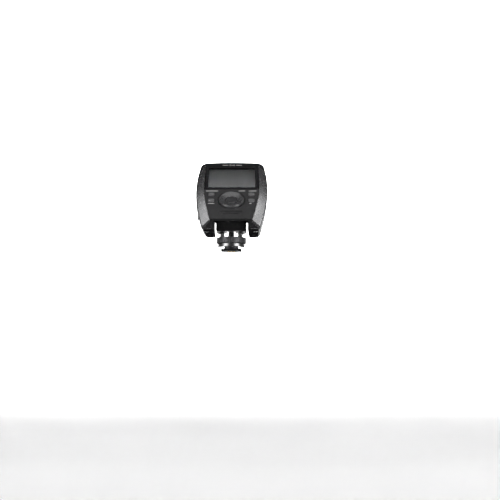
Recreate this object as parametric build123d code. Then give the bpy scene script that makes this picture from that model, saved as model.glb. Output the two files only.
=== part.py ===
from build123d import *
import math
import os

os.makedirs("parts", exist_ok=True)

# A radio flash trigger that stands in a camera's accessory shoe. Millimetres.
# Origin: centre of the underside of the shoe foot. +X: the operator's right.
# +Y: forward, towards the subject. +Z: up.

# ---- foot and clamp ----
FOOT_WIDTH = 18.6
FOOT_LENGTH = 18.0
FOOT_THICK = 2.0
NECK_WIDTH = 12.3
NECK_TOP = 4.0
RAIL_GAP = 1.8
WASHER_RADIUS = 12.4
WASHER_THICK = 3.1
RING_RADIUS = 13.4
RING_HEIGHT = 5.6
RING_GROOVES = 56
RING_GROOVE_RADIUS = 0.42
COLLAR_RADIUS = 10.8
THREAD_RADIUS = 8.75
COLLAR_BORE = 6.0
COLLAR_STEP_Z = 11.4
COLLAR_TOP_Z = 20.2
FIT = 0.05
CLEAR = 0.35
PIN_PROUD = 0.8

# ---- body ----
UNDERSIDE_Z = 17.2
REAR_Y = -25.0
FRONT_Y = 44.0
LIP_Z = 26.3
FACE_TILT = 45.0
FACE_LENGTH = 85.7
CROWN = 1.1
FOOT_CORNER = 4.6
KEEL_EASE = 0.05
TOP_EASE = 0.05
SIDE_CURVE = ((25.7, 17.2), (30.3, 33.8), (32.7, 53.0), (31.9, 74.0), (29.6, 85.6))
FACE_HALVES = (15.8, 20.3, 24.4, 24.7, 24.6)
TOP_SIDE_Z = 86.2
TOP_HALF = 29.4
TOP_ROUND = 3.0
BEVEL_ON_SIDE = 5.0
BEVEL_REACH = 80.0
BEVEL_ROUND = 3.0
WALL = 2.6
SKIN = 1.2
LIP_SKIN = 1.4
WING_DEPTH = 6.2
SPLIT_DEPTH = 14.0
LIP_HEIGHT = 1.5
GAP = 0.15

# ---- case screws and their bosses ----
BOSS_X = 21.6
BOSS_ROWS = (-7.0, 19.2)
BOSS_RADIUS = 3.6
BOSS_WEB = 1.2
BOSS_UPPER = 8.0
SCREW_RADIUS = 1.25
SCREW_HEAD = 2.3
SCREW_GRIP = 6.0
SCREW_LENGTH = 11.0

# ---- channel under the body and the pedestal that stands in it ----
CHANNEL_REAR_HALF = 14.5
CHANNEL_FRONT_HALF = 16.0
CHANNEL_REAR_Z = 24.8
CHANNEL_FRONT_Z = 31.0
PEDESTAL_WIDTH = 26.9
PEDESTAL_LENGTH = 28.0
PEDESTAL_ROUND = 2.2

# ---- control face: distances up the face from its lower edge ----
PANEL_LOW_S = 0.7
PANEL_TOP_S = 44.0
PANEL_THICK = 1.2
WINDOW_TOP_S = 80.6
WING_TOP_S = 82.6
DISPLAY_LOW_S = 46.2
DISPLAY_TOP_S = 78.0
DISPLAY_HALF = 21.7
DIAL_S = 27.2
DIAL_RADIUS = 11.2
DIAL_HOLE = 11.7
DIAL_HEIGHT = 2.1
SET_RADIUS = 4.8
KEY_X = 18.0
KEY_ROWS = (26.8, 36.0)
KEY_WIDTH = 5.6
KEY_LENGTH = 4.2
KEY_ROUND = 1.5
KEY_HEIGHT = 0.9
KEY_GAP = 0.35
RIB_ROWS = ((8.4, 15.0), (11.3, 20.0))
BOARD_DEPTH = 7.4
BOARD_THICK = 1.6
BOARD_LOW_S = 13.0
BOARD_TOP_S = 79.0
BOARD_HALF = 20.5
POST_X = 17.6
POST_ROWS = (16.0, 42.4)
HUB_BORE = 5.3
HUB_RADIUS = 6.6

# ---- battery bay ----
CELL_RADIUS = 7.2
CELL_BODY = 49.3
CELL_NUB = 1.0
CELL_Y = 31.4
CELL_Z = (41.5, 56.4)
DOOR_HALF = 26.0
DOOR_LOW_Z = 34.2
DOOR_TOP_Z = 65.2
DOOR_THICK = 1.8
PIN_RADIUS = 0.8
PIN_Y = 41.8
PIN_Z = 63.4
BARREL_RADIUS = 1.8
HINGE_SWEEP = 3.3
BARREL_HALF = 20.5
LUG_INNER = 21.0
LUG_OUTER = 24.5

BAY_GAP = 0.3
DOOR_RIBS = 5
DOOR_RIB_PITCH = 2.0
TRAY_OUT = 27.2
TRAY_IN = 26.6
TRAY_REAR = 23.3
TRAY_LOW = 33.6
TRAY_HIGH = 64.6
TRAY_WALL = 0.6

# ---- power switch on the left side, sync socket on the right ----
SIDE_Y = 8.0
SIDE_Z = 31.2
SLOT_LENGTH = 10.4
SLOT_HEIGHT = 4.0
CAP_LENGTH = 6.0
SWITCH_TRAVEL = 4.0
SOCKET_BORE = 1.8
SOCKET_RADIUS = 3.1
SOCKET_MOUTH = 28.6
SOCKET_DEPTH = 9.0

# ---- radio board ----
RADIO_LOW = (-14.0, 3.0, 37.0)
RADIO_HIGH = (14.0, 21.0, 38.2)

# ---- focus-assist window ----
ASSIST_HALF = 10.0
ASSIST_LOW = 68.4
ASSIST_HIGH = 74.4

# ---- contact block in the foot ----
BLOCK_RADIUS = 5.0
BLOCK_TOP = 8.0
SIDE_PIN_CIRCLE = 3.45

SINE = math.sin(math.radians(FACE_TILT))
COSINE = math.cos(math.radians(FACE_TILT))
TOP_Z = LIP_Z + FACE_LENGTH * SINE
FACE = Location(Plane(origin=(0, REAR_Y, LIP_Z), x_dir=(1, 0, 0), z_dir=(0, -SINE, COSINE)))
WIDE = 200.0


def save(name, shape):
    """Write one sub-part as its own STEP file."""
    shape.label = name
    export_step(shape, "parts/" + name + ".step")


def slab(low, high):
    """An upright box between two corners."""
    size = [high[i] - low[i] for i in range(3)]
    centre = [(high[i] + low[i]) / 2 for i in range(3)]
    return Pos(*centre) * Box(*size)


def tube_z(x, y, low, high, outer, inner=0.0):
    """A vertical rod, or a tube when it has an inner radius."""
    rod = Pos(x, y, (low + high) / 2) * Cylinder(outer, high - low)
    if inner:
        rod -= Pos(x, y, (low + high) / 2) * Cylinder(inner, high - low)
    return rod


def rod_x(low, high, y, z, radius):
    """A rod along X."""
    return Pos((low + high) / 2, y, z) * Rot(0, 90, 0) * Cylinder(radius, high - low)


def face_plate(sketch, top, thick, x=0.0, s=0.0):
    """A sketch drawn on the control face and given thickness below the height top."""
    return FACE * Pos(x, s, top - thick) * extrude(sketch, thick, dir=(0, 0, 1))


def below_face(low, high):
    """Everything between two heights over the control face."""
    return FACE * Pos(0, 0, (low + high) / 2) * Box(WIDE, 2 * WIDE, high - low)


def face_height_z(y, depth):
    """Z of the plane that lies at a depth under the control face, at a given Y."""
    return LIP_Z + (y - REAR_Y) - depth / COSINE


def carried_on(points):
    """A row of points with one more at each end, in line with the last two."""
    first = [2 * points[0][i] - points[1][i] for i in range(2)]
    last = [2 * points[-1][i] - points[-2][i] for i in range(2)]
    return [tuple(first)] + list(points) + [tuple(last)]


def side_points(inset):
    """The swelling right side of the body as half-width and Z."""
    return carried_on([(w - inset, z) for w, z in SIDE_CURVE])


def face_points():
    """The right edge of the flat control face as half-width and distance up the face."""
    rows = [(z - LIP_Z) / SINE for w, z in SIDE_CURVE]
    return carried_on(list(zip(FACE_HALVES, rows)))


def mirrored_face(right):
    """A face between a curved right side and its mirror image."""
    left = [(-x, y) for x, y in right]
    edges = [Spline(*right), Spline(*left), Line(left[0], right[0]), Line(left[-1], right[-1])]
    return make_face(edges)


def swept_front(inset):
    """The swelling sides, carried far forward and back."""
    outline = Plane.XZ * mirrored_face(side_points(inset))
    return extrude(Pos(0, -WIDE / 2, 0) * outline, WIDE, dir=(0, 1, 0))


def bevel_wedge(inset):
    """A wedge that widens below the control face, so that it bevels the face's two long edges."""
    sections = []
    for drop in (0.0, BEVEL_REACH):
        spread = drop / BEVEL_ON_SIDE
        right = []
        for (half, s), (wide, z) in zip(face_points(), side_points(inset)):
            right.append((half + (wide - half) * spread, s + drop))
        sections.append(FACE * (Pos(0, 0, -inset - drop) * mirrored_face(right)))
    return loft(sections, ruled=True)


def under_crown(inset):
    """Everything under the crowned top of the body, in front view."""
    half = WIDE / 4
    side_z = TOP_SIDE_Z - inset
    drop = CROWN * (half / TOP_HALF) ** 2
    middle_z = side_z + CROWN
    arc = ThreePointArc((-half, middle_z - drop), (0, middle_z), (half, middle_z - drop))
    lines = Polyline((half, middle_z - drop), (half, 0), (-half, 0), (-half, middle_z - drop))
    outline = make_face([arc, lines])
    (low_x, low_z), (up_x, up_z) = SIDE_CURVE[-2:]
    lean = (low_x - up_x) / (up_z - low_z)
    foot = (low_x - inset + lean * low_z + TOP_EASE, 0)
    peak = (foot[0] - lean * half * 4, half * 4)
    outline = outline & Polygon((-foot[0], 0), foot, peak, (-peak[0], half * 4), align=None)
    outline = Plane.XZ * fillet(outline.vertices().sort_by(Axis.Y)[-2:], TOP_ROUND - inset / 2)
    return extrude(Pos(0, -WIDE / 2, 0) * outline, WIDE, dir=(0, 1, 0))


def side_outline(inset):
    """The body seen from the side: an upright front and a sloping control face."""
    low = UNDERSIDE_Z + inset
    rear = REAR_Y + inset
    front = FRONT_Y - inset
    top = TOP_Z + 2 * CROWN
    face_low = LIP_Z + inset - inset / COSINE
    face_top = REAR_Y + top - LIP_Z + inset / COSINE
    corners = [(rear, low), (rear, face_low), (face_top, top), (front, top), (front, low)]
    return Polygon(*corners, align=None)


def face_height(edge):
    """Height of an edge's middle over the control face."""
    middle = edge.center()
    return (FACE.inverse() * Pos(middle.X, middle.Y, middle.Z)).position.Z


def is_bevel_edge(edge):
    """True for the long curved edges of the prism that lie at or just below the control face."""
    near_face = -BEVEL_ON_SIDE - 1 < face_height(edge) < 1
    return edge.length > 100 and near_face and edge.geom_type == GeomType.BSPLINE


def rounded_keel(inset):
    """Everything above the underside, with the two lower corners rounded."""
    (low_x, low_z), (up_x, up_z) = SIDE_CURVE[:2]
    slope = (up_x - low_x) / (up_z - low_z)
    half = low_x - inset + slope * inset + KEEL_EASE
    rise = WIDE / 2
    top = half + slope * rise
    low = UNDERSIDE_Z + inset
    corners = [(-half, low), (half, low), (top, low + rise), (-top, low + rise)]
    outline = Polygon(*corners, align=None)
    lower = outline.vertices().sort_by(Axis.Y)[:2]
    outline = Plane.XZ * fillet(lower, FOOT_CORNER - inset)
    return extrude(Pos(0, -WIDE / 2, 0) * outline, WIDE, dir=(0, 1, 0))


def bevelled_prism(inset):
    """The swelling, bevelled cross-section of the body, before its ends are cut."""
    form = swept_front(inset) & bevel_wedge(inset)
    return fillet(form.edges().filter_by(is_bevel_edge), BEVEL_ROUND)


def body_form(inset):
    """The whole body as one solid, inset from its outer surface."""
    form = bevelled_prism(inset)
    outline = Pos(-WIDE / 2, 0, 0) * (Plane.YZ * side_outline(inset))
    form = form & extrude(outline, WIDE, dir=(1, 0, 0))
    return form & under_crown(inset) & rounded_keel(inset)


def side_rows(half_widths, rows):
    """Corners of a mirrored plan outline from half-widths at given rows."""
    right = list(zip(half_widths, rows))
    left = [(-x, y) for x, y in reversed(right)]
    return right + left


def channel_form(margin):
    """The clearance that runs under the body from back to front, grown by a margin."""
    rear = REAR_Y - 10
    front = FRONT_Y + 10
    plan_rows = side_rows((CHANNEL_REAR_HALF + margin, CHANNEL_FRONT_HALF + margin), (rear, front))
    plan = extrude(Polygon(*plan_rows, align=None), WIDE / 2, dir=(0, 0, 1))
    rise = (CHANNEL_FRONT_Z - CHANNEL_REAR_Z) / (FRONT_Y - REAR_Y)
    rear_z = CHANNEL_REAR_Z - 10 * rise + margin
    front_z = CHANNEL_FRONT_Z + 10 * rise + margin
    section = Polygon((rear, 0), (rear, rear_z), (front, front_z), (front, 0), align=None)
    ceiling = extrude(Pos(-WIDE / 2, 0, 0) * (Plane.YZ * section), WIDE, dir=(1, 0, 0))
    return plan & ceiling


def ceiling_z(y):
    """Z of the channel's ceiling at a given Y."""
    return CHANNEL_REAR_Z + (y - REAR_Y) * (CHANNEL_FRONT_Z - CHANNEL_REAR_Z) / (FRONT_Y - REAR_Y)


def wing_outline(side, gap):
    """One side cover's place on the control face, open towards the outer side."""
    far = WIDE / 4
    inner = [(side * (half + gap), s) for half, s in face_points()]
    low = inner[0][1]
    high = inner[-1][1]
    outer_side = Polyline(inner[-1], (side * far, high), (side * far, low), inner[0])
    place = make_face([Spline(*inner), outer_side])
    return place & (Pos(0, WING_TOP_S - gap - WIDE / 2) * Rectangle(WIDE, WIDE))


def panel_outline(gap):
    """The lower control panel, as wide as the flat face."""
    whole = mirrored_face([(half - gap, s) for half, s in face_points()])
    middle = (PANEL_LOW_S + PANEL_TOP_S) / 2
    return whole & (Pos(0, middle) * Rectangle(WIDE, PANEL_TOP_S - PANEL_LOW_S - 2 * gap))


def window_outline(gap):
    """The display window, above the control panel."""
    whole = mirrored_face([(half - gap, s) for half, s in face_points()])
    middle = (PANEL_TOP_S + WINDOW_TOP_S) / 2
    outline = whole & (Pos(0, middle) * Rectangle(WIDE, WINDOW_TOP_S - PANEL_TOP_S - 2 * gap))
    return fillet(outline.vertices().sort_by(Axis.Y)[-2:], 2.0)


def key_places():
    """Name, X and face distance of each of the four keys."""
    rows = zip(("lower", "upper"), KEY_ROWS)
    columns = (("left", -KEY_X), ("right", KEY_X))
    return [(row + "_" + side, x, s) for row, s in rows for side, x in columns]


def screw(length, radius, head_radius, head_height):
    """A round-headed screw: head above the origin, shank below, with a cross slot."""
    shank = Pos(0, 0, -length / 2) * Cylinder(radius, length)
    head = Pos(0, 0, head_height / 2) * Cylinder(head_radius, head_height)
    head = fillet(head.edges().group_by(Axis.Z)[-1], head_height * 0.35)
    slot = Box(head_radius * 1.2, head_radius * 0.28, head_height)
    cross = Pos(0, 0, head_height) * (slot + Rot(0, 0, 90) * slot)
    return head + shank - cross


def spring(turns, pitch, radius, wire, cone=0.0):
    """A wound wire spring standing on the XY plane."""
    path = Helix(pitch=pitch, height=turns * pitch, radius=radius, cone_angle=cone)
    section = Plane(origin=path @ 0, z_dir=path % 0) * Circle(wire)
    return Pos(0, 0, wire) * sweep(section, path)


# ---- body shells ----

outer = body_form(0.0)
channel = channel_form(0.0)
inside = body_form(WALL) - channel_form(WALL)
skin = outer - (bevelled_prism(SKIN) & rounded_keel(SKIN)) - channel
shell = outer - channel - inside
side_covers = {}
for side, name in ((-1, "left_side_cover"), (1, "right_side_cover")):
    cover_place = face_plate(wing_outline(side, GAP), 5.0, 5.0 + WING_DEPTH - GAP)
    side_covers[name] = skin & cover_place
    shell -= skin & face_plate(wing_outline(side, 0.0), 5.0, 5.0 + WING_DEPTH)

# The two half shells meet on a plane parallel to the control face, with a lip inside the joint.
lip = (outer - body_form(WALL) - channel_form(0.0)) & body_form(LIP_SKIN)
lip = lip & below_face(-SPLIT_DEPTH - GAP, -SPLIT_DEPTH + LIP_HEIGHT)
lip_room = body_form(LIP_SKIN - GAP) - body_form(WALL + GAP)
lip_room = lip_room & below_face(-SPLIT_DEPTH, -SPLIT_DEPTH + LIP_HEIGHT + GAP)
upper_shell = shell & below_face(-SPLIT_DEPTH, 20)
lower_shell = (shell & below_face(-WIDE, -SPLIT_DEPTH - GAP)) + lip

# Bosses for the four case screws, each webbed to the side wall.
boss_room = body_form(WALL - 0.2) - channel_form(WALL - 0.2)
case_screws = []
for x in (-BOSS_X, BOSS_X):
    for y in BOSS_ROWS:
        meet = face_height_z(y, SPLIT_DEPTH)
        web_x = sorted((x, math.copysign(WIDE / 4, x)))
        post = tube_z(x, y, UNDERSIDE_Z - 5, meet + BOSS_UPPER, BOSS_RADIUS)
        web = slab((web_x[0], y - BOSS_WEB, UNDERSIDE_Z),
                   (web_x[1], y + BOSS_WEB, meet + BOSS_UPPER))
        boss = (post + web) & boss_room
        head_z = meet - SCREW_GRIP
        bore = tube_z(x, y, UNDERSIDE_Z - 5, head_z, SCREW_HEAD + 0.3)
        upper_shell += boss & below_face(-SPLIT_DEPTH, -BOARD_DEPTH - BOARD_THICK - 1.3)
        lower_shell += boss & below_face(-WIDE, -SPLIT_DEPTH - GAP)
        upper_shell -= tube_z(x, y, head_z, head_z + SCREW_LENGTH, SCREW_RADIUS)
        lower_shell -= bore + tube_z(x, y, head_z - 1, head_z + SCREW_LENGTH, SCREW_RADIUS + 0.15)
        upright = screw(SCREW_LENGTH - 0.5, SCREW_RADIUS, SCREW_HEAD, 1.4)
        case_screws.append(Pos(x, y, head_z) * Rot(180, 0, 0) * upright)

upper_shell -= lip_room

# ---- openings in the control face ----

for outline in (panel_outline(0.0), window_outline(0.0)):
    upper_shell -= face_plate(outline, 5.0, 5.0 + PANEL_THICK)
display_length = DISPLAY_TOP_S - DISPLAY_LOW_S
display_s = (DISPLAY_TOP_S + DISPLAY_LOW_S) / 2
upper_shell -= face_plate(Rectangle(2 * DISPLAY_HALF, display_length), 5.0, 10.0, 0, display_s)
upper_shell -= face_plate(Circle(DIAL_HOLE + 0.8), 5.0, 10.0, 0, DIAL_S)
face_panel = face_plate(panel_outline(GAP / 2), 0.0, PANEL_THICK)
face_panel -= face_plate(Circle(DIAL_HOLE), 5.0, 10.0, 0, DIAL_S)
face_panel -= face_plate(Circle(DIAL_HOLE + 0.9), 5.0, 5.45, 0, DIAL_S)
for s, width in RIB_ROWS:
    face_panel -= face_plate(RectangleRounded(width, 0.9, 0.4), 5.0, 5.5, 0, s)
for name, x, s in key_places():
    hole = RectangleRounded(KEY_WIDTH + 2 * KEY_GAP, KEY_LENGTH + 2 * KEY_GAP, KEY_ROUND + KEY_GAP)
    face_panel -= face_plate(hole, 5.0, 10.0, x, s)
    room = RectangleRounded(KEY_WIDTH + 2.4, KEY_LENGTH + 2.4, KEY_ROUND)
    upper_shell -= face_plate(room, 5.0, 10.0, x, s)

# Posts under the face for the main board's screws.
board_screws = []
for x, s in [(x, s) for x in (-POST_X, POST_X) for s in POST_ROWS]:
    upper_shell += face_plate(Circle(1.8), -WALL + 0.1, BOARD_DEPTH - WALL + 0.1, x, s)
    upper_shell -= face_plate(Circle(0.8), -BOARD_DEPTH + 4.4, 10.0, x, s)
    seat = FACE * Pos(x, s, -BOARD_DEPTH - BOARD_THICK) * Rot(180, 0, 0)
    board_screws.append(seat * screw(5.6, 0.8, 1.7, 1.0))

# ---- display ----

lcd_window = face_plate(window_outline(GAP / 2), -0.05, PANEL_THICK - 0.05)
frame_length = display_length + 2.4
frame_s = display_s
glass_length = frame_length - 2.0
lcd_frame = face_plate(RectangleRounded(46.2, frame_length, 1.0), -WALL - 0.05, 4.3, 0, frame_s)
lcd_frame -= face_plate(Rectangle(44.8, glass_length + 0.2), -WALL, 3.9, 0, frame_s)
lcd_glass = face_plate(Rectangle(44.6, glass_length), -WALL - 0.1, 1.6, 0, frame_s)
lcd_light_guide = face_plate(Rectangle(44.6, glass_length), -WALL - 1.8, 2.0, 0, frame_s)

# ---- boards and switches ----

board_length = BOARD_TOP_S - BOARD_LOW_S
board_s = (BOARD_TOP_S + BOARD_LOW_S) / 2
board_outline = RectangleRounded(2 * BOARD_HALF, board_length, 1.0)
main_board = face_plate(board_outline, -BOARD_DEPTH, BOARD_THICK, 0, board_s)
for x, s in [(x, s) for x in (-POST_X, POST_X) for s in POST_ROWS]:
    main_board -= face_plate(Circle(0.9), 0, 20, x, s)
main_chip = face_plate(Rectangle(9, 9), -BOARD_DEPTH - BOARD_THICK, 0.9, 4, 34)
switch_places = [(x, s) for name, x, s in key_places()] + [(0, DIAL_S)]
dome_switches = [face_plate(Circle(2.4), -BOARD_DEPTH + 0.5, 0.5, x, s) for x, s in switch_places]
key_mat = face_plate(RectangleRounded(43.6, 17.6, 1.5), -3.4, 0.8, 0, sum(KEY_ROWS) / 2)
key_mat -= face_plate(Circle(12.6), 0, 10, 0, DIAL_S)
for x, s in switch_places[:-1]:
    key_mat += face_plate(Circle(1.3), -4.1, BOARD_DEPTH - 4.1 - 0.5, x, s)

# ---- dial, set key and keys ----

profile = [(HUB_BORE, -1.0), (HUB_BORE, 0.5), (DIAL_RADIUS - 1.0, DIAL_HEIGHT), (DIAL_RADIUS, 0.9),
           (DIAL_RADIUS, -1.0), (HUB_RADIUS, -1.0), (HUB_RADIUS, -6.2), (HUB_BORE, -6.2)]
ring_section = Plane.XZ * Polygon(*profile, align=None)
dial_ring = FACE * Pos(0, DIAL_S, 0) * revolve(ring_section, Axis.Z)
encoder = face_plate(Circle(9.6) - Circle(HUB_RADIUS + FIT), -2.9, BOARD_DEPTH - 2.9, 0, DIAL_S)
set_cap = Cylinder(SET_RADIUS, 2.8)
set_cap = Pos(0, 0, -0.6) * fillet(set_cap.edges().group_by(Axis.Z)[-1], 0.7)
set_key = FACE * Pos(0, DIAL_S, 0) * (set_cap + Pos(0, 0, -4.1) * Cylinder(1.5, 4.4))
keys = {}
for name, x, s in key_places():
    cap = extrude(RectangleRounded(KEY_WIDTH, KEY_LENGTH, KEY_ROUND), KEY_HEIGHT + 2.0)
    cap = Pos(0, 0, -2.0) * fillet(cap.edges().group_by(Axis.Z)[-1], 0.5)
    flange = Pos(0, 0, -PANEL_THICK - 0.65) * extrude(
        RectangleRounded(KEY_WIDTH + 1.4, KEY_LENGTH + 1.4, KEY_ROUND + 0.5), 0.6)
    stem = Pos(0, 0, -2.3) * Cylinder(1.2, 1.0)
    keys["key_" + name] = FACE * Pos(x, s, 0) * (cap + flange + stem)

# ---- battery bay ----

front_inside = FRONT_Y - WALL
battery_tray = slab((-TRAY_OUT, TRAY_REAR, TRAY_LOW), (TRAY_OUT, front_inside, TRAY_HIGH))
battery_tray = battery_tray & below_face(-WIDE, -BOARD_DEPTH - BOARD_THICK - 0.6)
tray_room = slab((-TRAY_IN, TRAY_REAR + TRAY_WALL, TRAY_LOW + TRAY_WALL),
                 (TRAY_IN, FRONT_Y, TRAY_HIGH - TRAY_WALL))
battery_tray -= tray_room & below_face(-WIDE, -BOARD_DEPTH - BOARD_THICK - 1.4)
divider_z = (CELL_Z[0] + CELL_Z[1]) / 2
battery_tray += slab((-TRAY_IN, TRAY_REAR + 0.3, divider_z - 0.2),
                     (TRAY_IN, TRAY_REAR + 5.0, divider_z + 0.2))

cells = {}
battery_contacts = []
battery_springs = []
for name, z, way in (("cell_lower", CELL_Z[0], 1), ("cell_upper", CELL_Z[1], -1)):
    plus = way * (TRAY_IN - 0.5)
    shoulder = plus - way * CELL_NUB
    minus = shoulder - way * CELL_BODY
    can = rod_x(min(shoulder, minus), max(shoulder, minus), CELL_Y, z, CELL_RADIUS)
    can = fillet(can.edges().filter_by(GeomType.CIRCLE), 0.6)
    cells[name] = can + rod_x(min(plus, shoulder), max(plus, shoulder), CELL_Y, z, 2.7)
    plate = Box(0.5, 10.0, 10.0)
    battery_contacts.append(Pos(plus + way * 0.25, CELL_Y, z) * plate)
    coil = spring(3, 0.42, 3.4, 0.24, 24)
    start = -way * TRAY_IN
    battery_springs.append(Pos(start, CELL_Y, z) * Rot(0, way * 90, 0) * coil)

opening = slab((-DOOR_HALF, front_inside - 0.1, DOOR_LOW_Z), (DOOR_HALF, FRONT_Y + 1, DOOR_TOP_Z))
hinge_room = rod_x(-DOOR_HALF, DOOR_HALF, PIN_Y, PIN_Z, HINGE_SWEEP)
lower_shell -= opening + hinge_room
battery_tray -= hinge_room
for side in (-1, 1):
    low_x, high_x = sorted((side * LUG_INNER, side * LUG_OUTER))
    lug = rod_x(low_x, high_x, PIN_Y, PIN_Z, BARREL_RADIUS)
    lug += slab((low_x, PIN_Y - BARREL_RADIUS, PIN_Z), (high_x, PIN_Y, PIN_Z + 4.0))
    lug += slab((low_x, PIN_Y - BARREL_RADIUS, PIN_Z + HINGE_SWEEP), (high_x, FRONT_Y - 0.5, PIN_Z + 6.0))
    lower_shell += lug
lower_shell -= rod_x(-LUG_OUTER + 0.8, LUG_OUTER - 0.8, PIN_Y, PIN_Z, PIN_RADIUS)
door_hinge_pin = rod_x(-LUG_OUTER + 0.9, LUG_OUTER - 0.9, PIN_Y, PIN_Z, PIN_RADIUS)

battery_door = slab((-DOOR_HALF + BAY_GAP, FRONT_Y - DOOR_THICK, DOOR_LOW_Z + BAY_GAP),
                    (DOOR_HALF - BAY_GAP, FRONT_Y, DOOR_TOP_Z - 0.1))
lower_corners = [e for e in battery_door.edges().filter_by(Axis.Y) if e.center().Z < DOOR_LOW_Z + 1]
battery_door = fillet(lower_corners, 1.5)
for side in (-1, 1):
    low_x, high_x = sorted((side * (LUG_INNER - 0.3), side * (LUG_OUTER + 0.3)))
    battery_door -= slab((low_x, 0, PIN_Z - BARREL_RADIUS - 0.4), (high_x, WIDE, WIDE))
battery_door += rod_x(-BARREL_HALF, BARREL_HALF, PIN_Y, PIN_Z, BARREL_RADIUS)
battery_door -= rod_x(-WIDE, WIDE, PIN_Y, PIN_Z, PIN_RADIUS + FIT)
battery_door -= rod_x(-9, 9, FRONT_Y + 2.2, DOOR_LOW_Z + 4.4, 3.0)
for row in range(DOOR_RIBS):
    z = DOOR_LOW_Z + 9.5 + DOOR_RIB_PITCH * row
    battery_door -= slab((-8, FRONT_Y - 0.4, z - 0.4), (8, FRONT_Y + 1, z + 0.4))

# ---- power switch and sync socket ----

slot_rear = SIDE_Y - SLOT_LENGTH / 2
lower_shell -= slab((-WIDE / 4, slot_rear, SIDE_Z - SLOT_HEIGHT / 2),
                    (-24, slot_rear + SLOT_LENGTH, SIDE_Z + SLOT_HEIGHT / 2))
cap_rear = slot_rear + 0.2
switch_cap = slab((-30.9, cap_rear, SIDE_Z - 1.8), (-27.6, cap_rear + CAP_LENGTH, SIDE_Z + 1.8))
switch_cap = fillet(switch_cap.edges().group_by(Axis.X)[0], 0.5)
for row in range(4):
    y = cap_rear + 1.5 + row
    switch_cap -= slab((-32, y - 0.25, SIDE_Z - 3), (-30.5, y + 0.25, SIDE_Z + 3))
switch_cap += slab((-27.7, cap_rear + 2.2, SIDE_Z - 0.7), (-23.4, cap_rear + 3.8, SIDE_Z + 0.7))
switch_body = slab((-25.8, SIDE_Y - 6.0, SIDE_Z - 2.4), (-21.6, SIDE_Y + 6.0, SIDE_Z + 2.4))
switch_body -= slab((-28, cap_rear + 1.9, SIDE_Z - 1.0),
                    (-23, cap_rear + 4.1 + SWITCH_TRAVEL, SIDE_Z + 1.0))

lower_shell -= rod_x(20, WIDE / 4, SIDE_Y, SIDE_Z, SOCKET_RADIUS)
sync_socket = rod_x(SOCKET_MOUTH - SOCKET_DEPTH - 0.8, SOCKET_MOUTH, SIDE_Y, SIDE_Z, SOCKET_RADIUS)
sync_socket -= rod_x(SOCKET_MOUTH - SOCKET_DEPTH, SOCKET_MOUTH, SIDE_Y, SIDE_Z, SOCKET_BORE)

# ---- radio board, with its screening can and wound antenna ----

radio_board = slab(RADIO_LOW, RADIO_HIGH)
for x, y in [(x, y) for x in (-11.5, 11.5) for y in (5.5, 18.5)]:
    post = tube_z(x, y, ceiling_z(y) + WALL - 0.3, RADIO_LOW[2], 1.8)
    lower_shell += post
    lower_shell -= tube_z(x, y, RADIO_LOW[2] - 5, RADIO_LOW[2] + 1, 0.8)
    radio_board -= tube_z(x, y, RADIO_LOW[2] - 1, RADIO_HIGH[2] + 1, 0.9)
    board_screws.append(Pos(x, y, RADIO_HIGH[2]) * screw(5.6, 0.8, 1.7, 1.0))
shield_can = slab((-8, 6, RADIO_HIGH[2]), (6, 17, RADIO_HIGH[2] + 2.4))
shield_can -= slab((-7.7, 6.3, RADIO_HIGH[2] - 1), (5.7, 16.7, RADIO_HIGH[2] + 2.1))
antenna = Pos(9.5, 12, RADIO_HIGH[2]) * spring(7, 1.3, 2.0, 0.4)

# ---- focus-assist lamp behind its window ----

assist_hole = slab((-ASSIST_HALF, 40, ASSIST_LOW), (ASSIST_HALF, 50, ASSIST_HIGH))
lower_shell -= assist_hole
upper_shell -= assist_hole
assist_window = slab((-ASSIST_HALF + 0.1, front_inside, ASSIST_LOW + 0.1),
                     (ASSIST_HALF - 0.1, FRONT_Y - 0.1, ASSIST_HIGH - 0.1))
lamp_z = (ASSIST_LOW + ASSIST_HIGH) / 2
lamp = Pos(0, 38.6, lamp_z) * Rot(90, 0, 0) * Cylinder(2.5, 3.6)
lamp += Pos(0, 40.4, lamp_z) * (Sphere(2.5) & Pos(0, 5, 0) * Box(10, 10, 10))
assist_lamp = lamp & slab((-5, 36.8, 60), (5, front_inside - 0.1, 80))
lamp_board = slab((-8, 35.8, 66.6), (8, 36.8, 73.4))

# ---- pedestal, collar and clamp ----

pedestal = slab((-PEDESTAL_WIDTH / 2, -PEDESTAL_LENGTH / 2, UNDERSIDE_Z),
                (PEDESTAL_WIDTH / 2, PEDESTAL_LENGTH / 2, UNDERSIDE_Z + 20))
pedestal = fillet(pedestal.edges().filter_by(Axis.Z), PEDESTAL_ROUND)
pedestal = fillet(pedestal.edges().group_by(Axis.Z)[0], 0.8)
pedestal = pedestal & channel
pedestal -= tube_z(0, 0, UNDERSIDE_Z - 1, COLLAR_TOP_Z, COLLAR_RADIUS)
pedestal -= tube_z(0, 0, UNDERSIDE_Z, WIDE / 2, 5.0)
lower_shell -= tube_z(0, 0, UNDERSIDE_Z, RADIO_LOW[2] - 1, 5.0)
foot_screws = []
for x, y in [(x, y) for x in (-8.0, 8.0) for y in (2.6, 10.6)]:
    seat_z = ceiling_z(y) + 1.8
    lower_shell -= tube_z(x, y, seat_z, seat_z + 3, 2.3)
    lower_shell -= tube_z(x, y, seat_z - 4, seat_z + 1, 1.15)
    pedestal -= tube_z(x, y, seat_z - 6.5, seat_z, 1.0)
    foot_screws.append(Pos(x, y, seat_z) * screw(6.3, 1.0, 2.0, 1.2))

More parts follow.
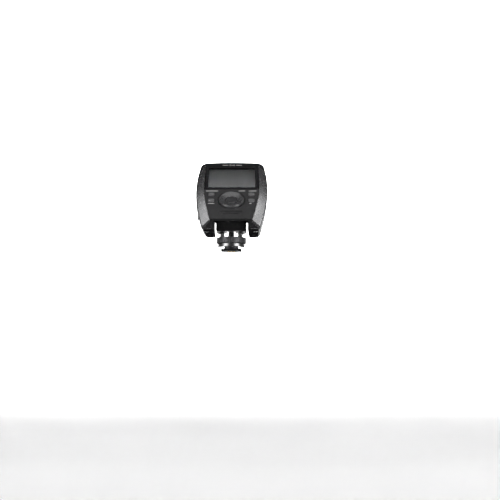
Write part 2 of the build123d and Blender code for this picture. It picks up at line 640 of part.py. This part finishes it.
collar = tube_z(0, 0, COLLAR_STEP_Z, COLLAR_TOP_Z, COLLAR_RADIUS)
collar += tube_z(0, 0, NECK_TOP, COLLAR_STEP_Z, THREAD_RADIUS)
collar -= tube_z(0, 0, 0, COLLAR_TOP_Z + 1, COLLAR_BORE)
washer_low = FOOT_THICK + RAIL_GAP
washer_high = washer_low + WASHER_THICK
clamp_washer = tube_z(0, 0, washer_low, washer_high - 0.05, WASHER_RADIUS)
clamp_washer = chamfer(clamp_washer.edges().filter_by(GeomType.CIRCLE), 0.3)
clamp_washer -= tube_z(0, 0, 0, washer_high + 1, THREAD_RADIUS + CLEAR)
for side in (-1, 1):
    collar -= Pos(side * THREAD_RADIUS, 0, 0) * slab((-0.9, -1.1, 0), (0.9, 1.1, COLLAR_STEP_Z - 0.8))
    tongue = slab((-0.7, -0.8, washer_low), (0.7, 0.8, washer_high - 0.05))
    tongue = Pos(side * (THREAD_RADIUS + 0.2), 0, 0) * tongue
    clamp_washer += tongue

ring_top = washer_high + RING_HEIGHT
lock_ring = tube_z(0, 0, washer_high, ring_top, RING_RADIUS)
lock_ring = chamfer(lock_ring.edges().filter_by(GeomType.CIRCLE), 0.5)
for turn in range(RING_GROOVES):
    angle = 2 * math.pi * turn / RING_GROOVES
    x = (RING_RADIUS + 0.1) * math.cos(angle)
    y = (RING_RADIUS + 0.1) * math.sin(angle)
    lock_ring -= tube_z(x, y, washer_high - 1, ring_top + 1, RING_GROOVE_RADIUS)
lock_ring -= tube_z(0, 0, washer_high - 1, ring_top + 1, THREAD_RADIUS + FIT)
lock_ring -= tube_z(0, 0, washer_high + 2.0, ring_top + 1, COLLAR_RADIUS + CLEAR)

# ---- shoe foot and its contacts ----

foot_plate = slab((-FOOT_WIDTH / 2, -FOOT_LENGTH / 2, 0), (FOOT_WIDTH / 2, FOOT_LENGTH / 2, FOOT_THICK))
foot_plate = fillet(foot_plate.edges().filter_by(Axis.Z), 1.2)
front_edges = [e for e in foot_plate.edges() if e.center().Y > FOOT_LENGTH / 2 - 0.01 and e.length > 10]
foot_plate = chamfer(front_edges, 0.5)
neck = slab((-NECK_WIDTH / 2, -9, FOOT_THICK), (NECK_WIDTH / 2, 9, NECK_TOP))
foot_plate += neck & tube_z(0, 0, 0, 10, THREAD_RADIUS - 0.1)
foot_plate += tube_z(0, 0, FOOT_THICK, NECK_TOP + 6, COLLAR_BORE)
foot_plate -= tube_z(0, 0, -1, 20, BLOCK_RADIUS)
contact_block = tube_z(0, 0, 0, BLOCK_TOP, BLOCK_RADIUS)


def contact(x, y, radius, coil_radius):
    """A sprung contact's pin, its spring and the stepped hole that both sit in."""
    flange = coil_radius + 0.35
    pin = tube_z(0, 0, -PIN_PROUD, 3.4, radius)
    pin = fillet(pin.edges().group_by(Axis.Z)[0], radius * 0.6)
    pin += tube_z(0, 0, 1.95, 2.5, flange)
    coil = Pos(0, 0, 2.5) * spring(5, 0.86, coil_radius, 0.14)
    hole = tube_z(0, 0, -2, 3, radius + FIT) + tube_z(0, 0, 1.9, 7.1, flange + 0.12)
    return [Pos(x, y, 0) * shape for shape in (pin, coil, hole)]


centre_pin, centre_spring, hole = contact(0, 0, 1.0, 1.4)
contact_block -= hole
side_pins = []
side_springs = []
for quarter in range(4):
    angle = math.radians(45 + 90 * quarter)
    place = (SIDE_PIN_CIRCLE * math.cos(angle), SIDE_PIN_CIRCLE * math.sin(angle))
    pin, coil, hole = contact(*place, 0.55, 0.72)
    contact_block -= hole
    side_pins.append(pin)
    side_springs.append(coil)
contact_cable = tube_z(0, 4.2, BLOCK_TOP, RADIO_LOW[2], 0.7)

# ---- one file for each sub-part ----

parts = {
    "upper_shell": upper_shell,
    "lower_shell": lower_shell,
    "face_panel": face_panel,
    "lcd_window": lcd_window,
    "lcd_frame": lcd_frame,
    "lcd_glass": lcd_glass,
    "lcd_light_guide": lcd_light_guide,
    "main_board": main_board,
    "main_chip": main_chip,
    "dome_switches": Compound(children=dome_switches),
    "key_mat": key_mat,
    "dial_ring": dial_ring,
    "dial_encoder": encoder,
    "set_key": set_key,
    "battery_tray": battery_tray,
    "battery_contacts": Compound(children=battery_contacts),
    "battery_springs": Compound(children=battery_springs),
    "battery_door": battery_door,
    "door_hinge_pin": door_hinge_pin,
    "power_switch_cap": switch_cap,
    "power_switch_body": switch_body,
    "sync_socket": sync_socket,
    "radio_board": radio_board,
    "shield_can": shield_can,
    "antenna": antenna,
    "assist_window": assist_window,
    "assist_lamp": assist_lamp,
    "lamp_board": lamp_board,
    "pedestal": pedestal,
    "threaded_collar": collar,
    "lock_ring": lock_ring,
    "clamp_washer": clamp_washer,
    "foot_plate": foot_plate,
    "contact_block": contact_block,
    "centre_contact_pin": centre_pin,
    "centre_contact_spring": centre_spring,
    "side_contact_pins": Compound(children=side_pins),
    "side_contact_springs": Compound(children=side_springs),
    "contact_cable": contact_cable,
    "case_screws": Compound(children=case_screws),
    "board_screws": Compound(children=board_screws),
    "foot_screws": Compound(children=foot_screws),
}
parts.update(side_covers)
parts.update(cells)
parts.update(keys)
for name, shape in parts.items():
    save(name, shape)
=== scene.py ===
import math

import bmesh
import bpy
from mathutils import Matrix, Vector


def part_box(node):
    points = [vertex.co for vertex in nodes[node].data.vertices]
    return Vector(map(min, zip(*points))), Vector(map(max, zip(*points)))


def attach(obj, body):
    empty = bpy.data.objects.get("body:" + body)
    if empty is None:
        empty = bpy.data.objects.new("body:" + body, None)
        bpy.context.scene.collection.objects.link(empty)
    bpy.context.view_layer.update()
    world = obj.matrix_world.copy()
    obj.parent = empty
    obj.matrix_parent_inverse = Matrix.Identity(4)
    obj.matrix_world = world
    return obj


# The looks of a wireless flash trigger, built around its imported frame. Metres, in the frame's own axes.
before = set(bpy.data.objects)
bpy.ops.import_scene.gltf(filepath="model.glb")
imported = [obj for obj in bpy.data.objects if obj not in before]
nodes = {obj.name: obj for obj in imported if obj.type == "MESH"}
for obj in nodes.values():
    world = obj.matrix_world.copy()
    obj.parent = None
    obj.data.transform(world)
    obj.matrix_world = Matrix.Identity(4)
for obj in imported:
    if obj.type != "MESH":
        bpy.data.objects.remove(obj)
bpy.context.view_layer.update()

MM = 0.001

# ---- the control face: a plane tilted 45 degrees, measured up from its lower edge ----

TILT = math.radians(45.0)
FACE_UP = Vector((0.0, math.cos(TILT), math.sin(TILT)))
FACE_OUT = Vector((0.0, -math.sin(TILT), math.cos(TILT)))
FACE_FOOT = Vector((0.0, -25.0, 26.3)) * MM

# Heights up the face, widths and thicknesses below are in millimetres.
UPPER_LABELS_S = 41.3
LOWER_LABELS_S = 22.6
WINDOW_LOW_S = 44.2
WINDOW_TOP_S = 80.3
SIGNAL_MARK_S = 82.0
GLASS_LOW_S = 46.8
GLASS_TOP_S = 77.6
GLASS_WIDTH = 43.0
BORDER_WIDTH = 47.9
BORDER_GAP = 0.3
BORDER_SUNK = 0.02
PRINT_THICK = 0.04

# ---- the generic mark over the window ----

MARK_DOT = 0.9
MARK_BAR = 0.34
MARK_ARC_RADII = (1.3, 2.2)
MARK_HALF_ANGLE = 38
MARK_DASH_X = 6.4
MARK_DASH_LENGTH = 5.4
MARK_DASH_HEIGHT = 0.7


# ---------------------------------------------------------------- materials

def shader_of(material):
    return material.node_tree.nodes["Principled BSDF"]


def new_material(name, colour, roughness, metallic=0.0, specular=0.5):
    """A principled material with its plain values on the shader's own sockets."""
    material = bpy.data.materials.new(name)
    material.use_nodes = True
    shader = shader_of(material)
    shader.inputs["Base Color"].default_value = (*colour, 1.0)
    shader.inputs["Roughness"].default_value = roughness
    shader.inputs["Metallic"].default_value = metallic
    shader.inputs["Specular IOR Level"].default_value = specular
    return material


def place_nodes(material):
    """Object-space position of the shaded point, in metres."""
    tree = material.node_tree
    found = tree.nodes.get("Place")
    if found is None:
        found = tree.nodes.new("ShaderNodeTexCoord")
        found.name = "Place"
    return found.outputs["Object"]


def noise(material, size, detail=3.0, stretch=(1.0, 1.0, 1.0)):
    """Noise whose features are about size metres across, from 0 to 1."""
    tree = material.node_tree
    mapping = tree.nodes.new("ShaderNodeMapping")
    mapping.inputs["Scale"].default_value = stretch
    tree.links.new(place_nodes(material), mapping.inputs["Vector"])
    texture = tree.nodes.new("ShaderNodeTexNoise")
    texture.inputs["Scale"].default_value = 1.0 / size
    texture.inputs["Detail"].default_value = detail
    tree.links.new(mapping.outputs["Vector"], texture.inputs["Vector"])
    return texture.outputs["Fac"]


def ramp(material, source, stops):
    """A colour ramp through (position, colour) stops."""
    tree = material.node_tree
    node = tree.nodes.new("ShaderNodeValToRGB")
    band = node.color_ramp
    while len(band.elements) < len(stops):
        band.elements.new(0.5)
    for element, (position, colour) in zip(band.elements, stops):
        element.position = position
        element.color = (*colour, 1.0)
    tree.links.new(source, node.inputs["Fac"])
    return node.outputs["Color"]


def grey(value):
    return (value, value, value)


def vary_colour(material, colour, spread, size):
    """Slow drift of the base colour around its own value."""
    dark = tuple(part * (1.0 - spread) for part in colour)
    light = tuple(min(1.0, part * (1.0 + spread)) for part in colour)
    drift = ramp(material, noise(material, size), [(0.25, dark), (0.75, light)])
    material.node_tree.links.new(drift, shader_of(material).inputs["Base Color"])


def vary_roughness(material, low, high, size, stretch=(1.0, 1.0, 1.0)):
    """Handling marks: patches that are a little smoother or duller."""
    patches = ramp(material, noise(material, size, 5.0, stretch), [(0.25, grey(low)), (0.75, grey(high))])
    material.node_tree.links.new(patches, shader_of(material).inputs["Roughness"])


def add_bump(material, source, height, soften=0.12 * MM):
    """Fine relief in metres, over edges that are softened by a small radius."""
    tree = material.node_tree
    bump = tree.nodes.new("ShaderNodeBump")
    bump.inputs["Strength"].default_value = 1.0
    bump.inputs["Distance"].default_value = height
    edge = tree.nodes.new("ShaderNodeBevel")
    edge.samples = 4
    edge.inputs["Radius"].default_value = soften
    tree.links.new(edge.outputs["Normal"], bump.inputs["Normal"])
    tree.links.new(source, bump.inputs["Height"])
    tree.links.new(bump.outputs["Normal"], shader_of(material).inputs["Normal"])


def moulded(name, colour, roughness, grain=0.35 * MM, height=0.012 * MM, spread=0.12,
            specular=0.5, marks=0.04):
    """Moulded plastic: spark-textured grain, slow colour drift and handling marks."""
    material = new_material(name, colour, roughness, specular=specular)
    vary_colour(material, colour, spread, 9 * MM)
    vary_roughness(material, roughness - marks, roughness + marks, 7 * MM)
    add_bump(material, noise(material, grain, 4.0), height)
    return material


def underside_painted_shade(material, specular):
    """Painted shade: faces that point down lose their specular reflection as they turn downwards, so the
    undersides stay dark.
    """
    tree = material.node_tree
    facing = tree.nodes.new("ShaderNodeNewGeometry")
    split = tree.nodes.new("ShaderNodeSeparateXYZ")
    gloss = tree.nodes.new("ShaderNodeMapRange")
    gloss.inputs["From Min"].default_value = -0.9
    gloss.inputs["From Max"].default_value = -0.4
    gloss.inputs["To Min"].default_value = 0.0
    gloss.inputs["To Max"].default_value = specular
    tree.links.new(facing.outputs["True Normal"], split.inputs["Vector"])
    tree.links.new(split.outputs["Z"], gloss.inputs["Value"])
    tree.links.new(gloss.outputs["Result"], shader_of(material).inputs["Specular IOR Level"])


def metal(name, colour, roughness, stretch=(1.0, 1.0, 1.0), scratch=0.25 * MM, height=0.004 * MM):
    """Turned or brushed metal: fine scratches in one direction, and duller patches."""
    material = new_material(name, colour, roughness, metallic=1.0)
    vary_colour(material, colour, 0.10, 5 * MM)
    vary_roughness(material, max(0.04, roughness - 0.07), roughness + 0.09, 3 * MM, stretch)
    add_bump(material, noise(material, scratch, 4.0, stretch), height)
    return material


CASE_SPECULAR = 0.22
black_case = moulded("black_case", (0.009, 0.009, 0.0095), 0.44, specular=CASE_SPECULAR)
underside_painted_shade(black_case, CASE_SPECULAR)
panel_black = moulded("panel_black", (0.030, 0.030, 0.031), 0.42, grain=0.22 * MM, height=0.006 * MM,
                      specular=0.4)
# The pedestal's black is the case's black made darker and less glossy: painted shade of the recess between
# the legs.
pedestal_painted_shade = moulded("pedestal_painted_shade", (0.006, 0.006, 0.0063), 0.5, specular=0.15)
inner_plastic = moulded("inner_plastic", (0.03, 0.03, 0.031), 0.55)
side_grey = moulded("side_grey", (0.26, 0.26, 0.264), 0.27, grain=0.18 * MM, height=0.004 * MM, spread=0.03,
                    specular=0.3, marks=0.015)
shader_of(side_grey).inputs["Metallic"].default_value = 0.9
dial_grey = moulded("dial_grey", (0.055, 0.055, 0.057), 0.28, grain=0.3 * MM, height=0.003 * MM)
set_grey = moulded("set_grey", (0.035, 0.035, 0.037), 0.30, grain=0.3 * MM, height=0.003 * MM)
key_grey = moulded("key_grey", (0.13, 0.13, 0.133), 0.30, grain=0.3 * MM, height=0.003 * MM)
switch_black = moulded("switch_cap", (0.02, 0.02, 0.021), 0.42)
frame_white = moulded("frame_white", (0.72, 0.72, 0.70), 0.45, spread=0.04)
print_white = moulded("print_white", (0.52, 0.52, 0.51), 0.5, height=0.003 * MM, spread=0.10)
mat_rubber = moulded("mat_rubber", (0.12, 0.12, 0.125), 0.7)
chip_black = moulded("chip_black", (0.015, 0.015, 0.016), 0.5)
cable_black = moulded("cable_black", (0.02, 0.02, 0.02), 0.6)
assist_red = moulded("assist_red", (0.09, 0.004, 0.006), 0.12, height=0.001 * MM)
lamp_clear = moulded("lamp_clear", (0.6, 0.52, 0.52), 0.1, height=0.001 * MM)
socket_black = moulded("socket_black", (0.012, 0.012, 0.013), 0.3)
steel = metal("spring_steel", (0.55, 0.55, 0.54), 0.28)
hinge_steel = metal("hinge_steel", (0.5, 0.5, 0.5), 0.22)
copper = metal("antenna_copper", (0.75, 0.42, 0.22), 0.3)
gold = metal("contact_gold", (0.83, 0.62, 0.28), 0.24)
chrome = metal("collar_chrome", (0.80, 0.80, 0.80), 0.14, stretch=(1.0, 1.0, 12.0))
washer_steel = metal("washer_steel", (0.26, 0.26, 0.26), 0.28, stretch=(0.4, 0.4, 10.0))
ring_black = metal("ring_black", (0.075, 0.075, 0.077), 0.34)
foot_black = metal("foot_black", (0.035, 0.035, 0.036), 0.42)
screw_black = metal("screw_black", (0.10, 0.10, 0.10), 0.35)


def make_gloss_black():
    """The printed border behind the display window's gloss."""
    colour = (0.010, 0.010, 0.011)
    material = new_material("border_black", colour, 0.07)
    shader = shader_of(material)
    shader.inputs["Coat Weight"].default_value = 0.6
    shader.inputs["Coat Roughness"].default_value = 0.04
    vary_colour(material, colour, 0.2, 12 * MM)
    vary_roughness(material, 0.06, 0.16, 4 * MM)
    return material


def make_window():
    """Clear window: a smooth dielectric with faint wiping marks."""
    material = new_material("window_clear", (0.93, 0.94, 0.95), 0.03)
    shader = shader_of(material)
    shader.inputs["Transmission Weight"].default_value = 1.0
    shader.inputs["IOR"].default_value = 1.3
    vary_roughness(material, 0.01, 0.07, 7 * MM)
    return material


DOT_PITCH = 0.34 * MM
DOT_GAP = 0.03 * MM


def make_display():
    """An unlit liquid-crystal panel: grey with a fine dot grid, and a painted reflection that makes it
    lighter towards its lower edge.
    """
    material = new_material("display_grey", (0.10, 0.10, 0.10), 0.28)
    tree = material.node_tree
    split = tree.nodes.new("ShaderNodeSeparateXYZ")
    tree.links.new(place_nodes(material), split.inputs["Vector"])
    low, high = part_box("lcd_glass")
    rise = tree.nodes.new("ShaderNodeMapRange")
    rise.inputs["From Min"].default_value = low.z
    rise.inputs["From Max"].default_value = high.z
    tree.links.new(split.outputs["Z"], rise.inputs["Value"])
    # Painted reflection: the grey grows lighter towards the lower edge, standing in for the studio seen in
    # the window.
    stops = [(0.05, grey(0.40)), (0.5, grey(0.24)), (0.95, grey(0.12)), (1.0, grey(0.11))]
    painted_reflection = ramp(material, rise.outputs["Result"], stops)
    dots = tree.nodes.new("ShaderNodeTexBrick")
    dots.offset = 0.0
    dots.inputs["Scale"].default_value = 1.0
    dots.inputs["Brick Width"].default_value = DOT_PITCH
    dots.inputs["Row Height"].default_value = DOT_PITCH
    dots.inputs["Mortar Size"].default_value = DOT_GAP
    dots.inputs["Color1"].default_value = (0.97, 0.97, 0.97, 1)
    dots.inputs["Color2"].default_value = (1, 1, 1, 1)
    dots.inputs["Mortar"].default_value = (0.86, 0.86, 0.86, 1)
    flat = tree.nodes.new("ShaderNodeMapping")
    flat.inputs["Rotation"].default_value = (-TILT, 0, 0)
    tree.links.new(place_nodes(material), flat.inputs["Vector"])
    tree.links.new(flat.outputs["Vector"], dots.inputs["Vector"])
    mix = tree.nodes.new("ShaderNodeMix")
    mix.data_type = "RGBA"
    mix.blend_type = "MULTIPLY"
    mix.inputs["Factor"].default_value = 1.0
    tree.links.new(painted_reflection, mix.inputs["A"])
    tree.links.new(dots.outputs["Color"], mix.inputs["B"])
    tree.links.new(mix.outputs["Result"], shader_of(material).inputs["Base Color"])
    return material


def make_board():
    """A solder-masked board with faint copper tracks under the mask."""
    material = new_material("board_green", (0.012, 0.12, 0.05), 0.35)
    tree = material.node_tree
    tracks = tree.nodes.new("ShaderNodeTexBrick")
    tracks.inputs["Scale"].default_value = 1.0
    tracks.inputs["Brick Width"].default_value = 3.0 * MM
    tracks.inputs["Row Height"].default_value = 0.9 * MM
    tracks.inputs["Mortar Size"].default_value = 0.12 * MM
    tracks.inputs["Color1"].default_value = (0.010, 0.11, 0.045, 1)
    tracks.inputs["Color2"].default_value = (0.012, 0.13, 0.055, 1)
    tracks.inputs["Mortar"].default_value = (0.03, 0.20, 0.09, 1)
    tree.links.new(place_nodes(material), tracks.inputs["Vector"])
    tree.links.new(tracks.outputs["Color"], shader_of(material).inputs["Base Color"])
    add_bump(material, noise(material, 0.4 * MM), 0.005 * MM)
    return material


CELL_HALF_LENGTH = 25 * MM


def make_jacket(name, plus_side):
    """A cell's shrink jacket: dark, with a copper band towards the raised terminal."""
    material = new_material(name, (0.02, 0.02, 0.02), 0.25)
    tree = material.node_tree
    split = tree.nodes.new("ShaderNodeSeparateXYZ")
    tree.links.new(place_nodes(material), split.inputs["Vector"])
    along = tree.nodes.new("ShaderNodeMapRange")
    along.inputs["From Min"].default_value = -CELL_HALF_LENGTH * plus_side
    along.inputs["From Max"].default_value = CELL_HALF_LENGTH * plus_side
    tree.links.new(split.outputs["X"], along.inputs["Value"])
    stops = [(0.0, (0.6, 0.6, 0.6)), (0.02, (0.02, 0.02, 0.022)), (0.68, (0.03, 0.03, 0.032)),
             (0.69, (0.55, 0.28, 0.12)), (0.97, (0.62, 0.33, 0.15)), (0.98, (0.6, 0.6, 0.6))]
    tree.links.new(ramp(material, along.outputs["Result"], stops), shader_of(material).inputs["Base Color"])
    vary_roughness(material, 0.18, 0.34, 4 * MM)
    add_bump(material, noise(material, 1.5 * MM), 0.01 * MM)
    return material


border_black = make_gloss_black()
window_clear = make_window()
display_grey = make_display()
board_green = make_board()

MATERIAL_OF = {
    "upper_shell": black_case, "lower_shell": black_case, "battery_door": black_case,
    "pedestal": pedestal_painted_shade, "face_panel": panel_black,
    "left_side_cover": side_grey, "right_side_cover": side_grey,
    "lcd_window": window_clear, "lcd_glass": display_grey,
    "lcd_frame": frame_white, "lcd_light_guide": frame_white,
    "dial_ring": dial_grey, "set_key": set_grey,
    "key_upper_left": key_grey, "key_upper_right": key_grey,
    "key_lower_left": key_grey, "key_lower_right": key_grey,
    "main_board": board_green, "radio_board": board_green, "lamp_board": board_green,
    "main_chip": chip_black, "key_mat": mat_rubber, "contact_cable": cable_black,
    "battery_tray": inner_plastic, "dial_encoder": inner_plastic,
    "power_switch_body": inner_plastic, "contact_block": inner_plastic,
    "power_switch_cap": switch_black, "sync_socket": socket_black,
    "dome_switches": steel, "battery_contacts": steel, "battery_springs": steel,
    "centre_contact_spring": steel, "side_contact_springs": steel, "shield_can": steel,
    "door_hinge_pin": hinge_steel, "antenna": copper,
    "centre_contact_pin": gold, "side_contact_pins": gold,
    "threaded_collar": chrome, "clamp_washer": washer_steel, "lock_ring": ring_black,
    "foot_plate": foot_black, "case_screws": screw_black, "board_screws": screw_black,
    "foot_screws": screw_black, "assist_window": assist_red, "assist_lamp": lamp_clear,
    "cell_lower": make_jacket("cell_lower_jacket", 1), "cell_upper": make_jacket("cell_upper_jacket", -1),
}
for name, piece in nodes.items():
    piece.data.materials.clear()
    piece.data.materials.append(MATERIAL_OF[name])


# ---------------------------------------------------------------- printed marks and trims

def finish_piece(name, builder, material, body="case"):
    """Turn a bmesh into a piece that rides on a body."""
    mesh = bpy.data.meshes.new(name)
    bmesh.ops.recalc_face_normals(builder, faces=builder.faces)
    builder.to_mesh(mesh)
    builder.free()
    mesh.materials.append(material)
    piece = bpy.data.objects.new(name, mesh)
    bpy.context.scene.collection.objects.link(piece)
    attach(piece, body)
    return piece


def on_face(x, s, h=0.0):
    """A point over the control face, from millimetres across, up and out."""
    return FACE_FOOT + Vector((x, 0, 0)) * MM + FACE_UP * (s * MM) + FACE_OUT * (h * MM)


def rounded_outline(width, height, radius, steps=6):
    """A rounded rectangle as points around the origin, counter-clockwise."""
    points = []
    half_w = width / 2 - radius
    half_h = height / 2 - radius
    for quarter, (sx, sy) in enumerate(((1, 1), (-1, 1), (-1, -1), (1, -1))):
        for step in range(steps + 1):
            angle = math.pi / 2 * (quarter + step / steps)
            points.append((sx * half_w + radius * math.cos(angle), sy * half_h + radius * math.sin(angle)))
    return points


def add_prism(builder, outline, base, thick, put):
    """A flat plate with an outline, standing on a surface that put(x, y, h) describes."""
    low = [builder.verts.new(put(x, y, base)) for x, y in outline]
    high = [builder.verts.new(put(x, y, base + thick)) for x, y in outline]
    builder.faces.new(low)
    builder.faces.new(high)
    count = len(outline)
    for i in range(count):
        j = (i + 1) % count
        builder.faces.new((low[i], low[j], high[j], high[i]))


def add_arc_bar(builder, radius, width, start, end, base, thick, put, steps=14):
    """A bar bent along an arc, on the same kind of surface."""
    outer = []
    inner = []
    for step in range(steps + 1):
        angle = math.radians(start + (end - start) * step / steps)
        outer.append(((radius + width / 2) * math.cos(angle), (radius + width / 2) * math.sin(angle)))
        inner.append(((radius - width / 2) * math.cos(angle), (radius - width / 2) * math.sin(angle)))
    add_prism(builder, outer + inner[::-1], base, thick, put)


def face_put(x0, s0):
    """A placing function for an outline whose origin is x0 across and s0 up the control face."""
    return lambda x, y, h: on_face(x0 + x, s0 + y, h)


PANEL_MARKS = (
    (-17.6, UPPER_LABELS_S, 11.2, 1.0),
    (9.3, UPPER_LABELS_S, 6.2, 1.0),
    (18.9, UPPER_LABELS_S, 7.0, 1.0),
    (-17.9, LOWER_LABELS_S, 5.6, 0.9),
    (16.9, LOWER_LABELS_S, 2.0, 1.0),
)


def make_panel_marks():
    """Plain dashes where a trigger carries its key labels."""
    builder = bmesh.new()
    for x, s, width, height in PANEL_MARKS:
        outline = rounded_outline(width, height, height * 0.48)
        add_prism(builder, outline, 0.0, PRINT_THICK, face_put(x, s))
    return finish_piece("panel_marks", builder, print_white)


def make_signal_mark():
    """A generic radio-wave mark between two dashes, on the shell strip over the window."""
    builder = bmesh.new()
    put = face_put(0.0, SIGNAL_MARK_S)
    dot = rounded_outline(MARK_DOT, MARK_DOT, 0.44)
    add_prism(builder, dot, 0.0, PRINT_THICK, put)
    for side in (0, 180):
        start = side - MARK_HALF_ANGLE
        end = side + MARK_HALF_ANGLE
        for radius in MARK_ARC_RADII:
            add_arc_bar(builder, radius, MARK_BAR, start, end, 0.0, PRINT_THICK, put)
    dash = rounded_outline(MARK_DASH_LENGTH, MARK_DASH_HEIGHT, 0.34)
    for x in (-MARK_DASH_X, MARK_DASH_X):
        add_prism(builder, dash, 0.0, PRINT_THICK, face_put(x, SIGNAL_MARK_S))
    return finish_piece("signal_mark", builder, print_white)


def make_window_border():
    """The black printed border of the display window, with a rounded opening."""
    builder = bmesh.new()
    steps = 10
    outer = rounded_outline(BORDER_WIDTH, WINDOW_TOP_S - WINDOW_LOW_S - BORDER_GAP, 1.4, steps)
    inner = rounded_outline(GLASS_WIDTH, GLASS_TOP_S - GLASS_LOW_S, 0.5, steps)
    outer_put = face_put(0.0, (WINDOW_LOW_S + WINDOW_TOP_S) / 2)
    inner_put = face_put(0.0, (GLASS_LOW_S + GLASS_TOP_S) / 2)
    rings = []
    for outline, put in ((outer, outer_put), (inner, inner_put)):
        for h in (-BORDER_SUNK, PRINT_THICK):
            rings.append([builder.verts.new(put(x, y, h)) for x, y in outline])
    outer_low, outer_high, inner_low, inner_high = rings
    count = len(outer)
    for i in range(count):
        j = (i + 1) % count
        builder.faces.new((outer_low[i], outer_low[j], outer_high[j], outer_high[i]))
        builder.faces.new((inner_low[i], inner_low[j], inner_high[j], inner_high[i]))
        builder.faces.new((outer_high[i], outer_high[j], inner_high[j], inner_high[i]))
        builder.faces.new((outer_low[i], outer_low[j], inner_low[j], inner_low[i]))
    return finish_piece("window_border", builder, border_black)


make_window_border()
make_panel_marks()
make_signal_mark()


# ---------------------------------------------------------------- studio and camera

FLOOR_Z = -0.17
STAGE_WIDTH = 5.0
STAGE_REAR_Y = 1.3
STAGE_FRONT_Y = -2.4
SWEEP_RADIUS = 0.5
STAGE_HEIGHT = 1.0
SWEEP_STEPS = 16


def make_stage():
    """A pale floor that sweeps up into a backdrop."""
    builder = bmesh.new()
    profile = [(STAGE_FRONT_Y, FLOOR_Z)]
    for step in range(SWEEP_STEPS + 1):
        angle = math.pi / 2 * step / SWEEP_STEPS
        y = STAGE_REAR_Y - SWEEP_RADIUS + SWEEP_RADIUS * math.sin(angle)
        z = FLOOR_Z + SWEEP_RADIUS - SWEEP_RADIUS * math.cos(angle)
        profile.append((y, z))
    profile.append((STAGE_REAR_Y, STAGE_HEIGHT))
    left = [builder.verts.new((-STAGE_WIDTH / 2, y, z)) for y, z in profile]
    right = [builder.verts.new((STAGE_WIDTH / 2, y, z)) for y, z in profile]
    for i in range(len(profile) - 1):
        builder.faces.new((left[i], right[i], right[i + 1], left[i + 1]))
    mesh = bpy.data.meshes.new("stage")
    builder.to_mesh(mesh)
    builder.free()
    for face in mesh.polygons:
        face.use_smooth = True
    paper = new_material("stage_paper", (0.9, 0.9, 0.9), 0.8)
    vary_colour(paper, (0.9, 0.9, 0.9), 0.02, 0.2)
    mesh.materials.append(paper)
    stage = bpy.data.objects.new("stage", mesh)
    bpy.context.scene.collection.objects.link(stage)


def make_flag(name, corners):
    """A black card that only glossy reflections see: it darkens them, and doesn't show or cast a shadow."""
    mesh = bpy.data.meshes.new(name)
    mesh.from_pydata(corners, [], [(0, 1, 2, 3)])
    cloth = new_material(name + "_cloth", (0.004, 0.004, 0.004), 0.9, specular=0.0)
    vary_colour(cloth, (0.004, 0.004, 0.004), 0.2, 0.05)
    mesh.materials.append(cloth)
    flag = bpy.data.objects.new(name, mesh)
    bpy.context.scene.collection.objects.link(flag)
    flag.visible_camera = False
    flag.visible_diffuse = False
    flag.visible_shadow = False
    flag.visible_transmission = False


def make_flags():
    """Cards on the floor beyond the object, at its far end, high behind the object and behind the camera."""
    near, far, half = -0.1, 1.15, 1.0
    low, high = FLOOR_Z + 0.01, 0.10
    make_flag("floor_flag", [(-half, near, low), (half, near, low), (half, far, low), (-half, far, low)])
    make_flag("far_flag", [(-half, far, low), (half, far, low), (half, far, high), (-half, far, high)])
    left, right, behind = -0.70, 0.55, 0.5
    foot, head = 0.2, 1.3
    make_flag("high_flag", [(left, behind, foot), (right, behind, foot),
                            (right, behind, head), (left, behind, head)])
    back, wide, top = -1.0, 0.42, 0.5
    make_flag("camera_flag", [(-wide, back, low), (wide, back, low), (wide, back, top), (-wide, back, top)])


def area_light(name, place, target, width, height, power, spread=180.0):
    """A rectangular softbox aimed at a point, with its spread in degrees."""
    data = bpy.data.lights.new(name, "AREA")
    data.shape = "RECTANGLE"
    data.size = width
    data.size_y = height
    data.energy = power
    data.spread = math.radians(spread)
    light = bpy.data.objects.new(name, data)
    light.location = place
    light.rotation_euler = (Vector(target) - Vector(place)).to_track_quat("-Z", "Y").to_euler()
    bpy.context.scene.collection.objects.link(light)


def make_lights():
    centre = (0.0, 0.0, 0.045)
    area_light("overhead", (0.0, -0.32, 0.70), centre, 0.7, 0.4, 2.0)
    area_light("left_low", (-0.60, -0.55, -0.02), centre, 0.5, 0.3, 3.0)
    area_light("right_low", (0.60, -0.55, -0.02), centre, 0.5, 0.3, 3.0)
    area_light("left_high", (-0.64, 0.06, 0.60), centre, 0.34, 0.30, 0.95)
    area_light("right_high", (0.64, 0.06, 0.60), centre, 0.34, 0.30, 1.2)
    area_light("backdrop_light", (0.0, 0.45, 1.3), (0.0, 1.3, 0.1), 1.8, 0.5, 48.0, spread=80.0)
    world = bpy.data.worlds.new("studio")
    bpy.context.scene.world = world
    world.use_nodes = True
    world.node_tree.nodes["Background"].inputs["Color"].default_value = (1, 1, 1, 1)
    world.node_tree.nodes["Background"].inputs["Strength"].default_value = 0.08


EYE = (0.01665, -0.820, -0.0716)
PITCH_UP = math.radians(5.1)
LENS = 66.3


def make_camera():
    data = bpy.data.cameras.new("camera")
    data.lens = LENS
    data.sensor_width = 36.0
    camera = bpy.data.objects.new("camera", data)
    camera.location = EYE
    camera.rotation_euler = (math.pi / 2 + PITCH_UP, 0, 0)
    bpy.context.scene.collection.objects.link(camera)
    bpy.context.scene.camera = camera


make_stage()
make_flags()
make_lights()
make_camera()
bpy.context.scene.view_settings.view_transform = "Standard"
